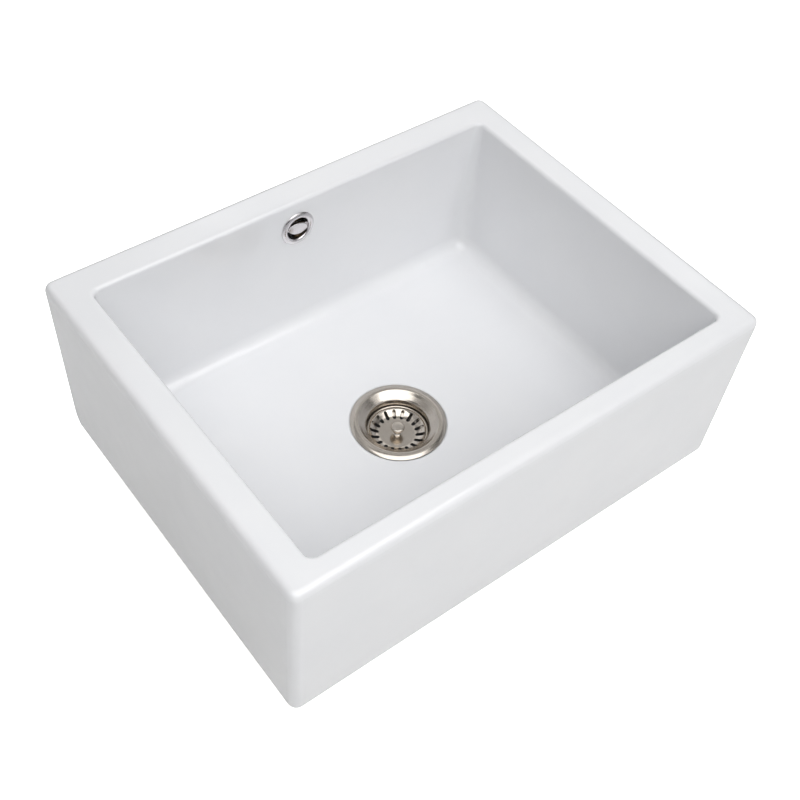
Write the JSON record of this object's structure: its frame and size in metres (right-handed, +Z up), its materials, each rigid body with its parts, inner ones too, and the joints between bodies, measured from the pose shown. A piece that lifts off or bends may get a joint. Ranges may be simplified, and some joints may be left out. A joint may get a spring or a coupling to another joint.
{
  "type": "farmhouse apron front sink",
  "caption": "White glazed fireclay apron front kitchen sink with square rim, built-in overflow and lift-out basket strainer waste",
  "frame": {"origin": "centre of the waste outlet's mouth, on the axis of the waste", "axes": "+X along the apron to the right as seen from the user, +Y from the apron to the back wall with the overflow, +Z up"},
  "size_m": [0.5948, 0.4618, 0.2934],
  "materials": {
    "fireclay": "gloss",
    "stainless": "satin",
    "polished_steel": "polished",
    "screw_steel": "satin",
    "black_rubber": "matte",
    "white_plastic": "satin",
    "black_plastic": "matte",
    "brass": "satin"
  },
  "bodies": {
    "sink": {"sink_bowl": "fireclay", "strainer_cup": "stainless", "flange_gasket": "black_rubber", "body_gasket": "black_rubber", "screw_washer": "screw_steel", "centre_screw": "screw_steel", "waste_body": "white_plastic", "threaded_insert": "brass", "overflow_ring": "polished_steel", "overflow_cap": "polished_steel", "overflow_screw": "screw_steel", "overflow_bridge": "brass", "overflow_grommet": "black_rubber"},
    "basket": {"basket_shell": "stainless", "basket_knob": "polished_steel", "seal_carrier": "black_plastic", "seal_retainer": "screw_steel", "basket_seal": "black_rubber", "knob_washer": "screw_steel", "knob_screw": "screw_steel"}
  },
  "joints": [
    {"name": "basket_lift", "type": "slide", "parent": "sink", "child": "basket", "axis": [0, 0, 1], "range_m": [0, 0.26]}
  ]
}
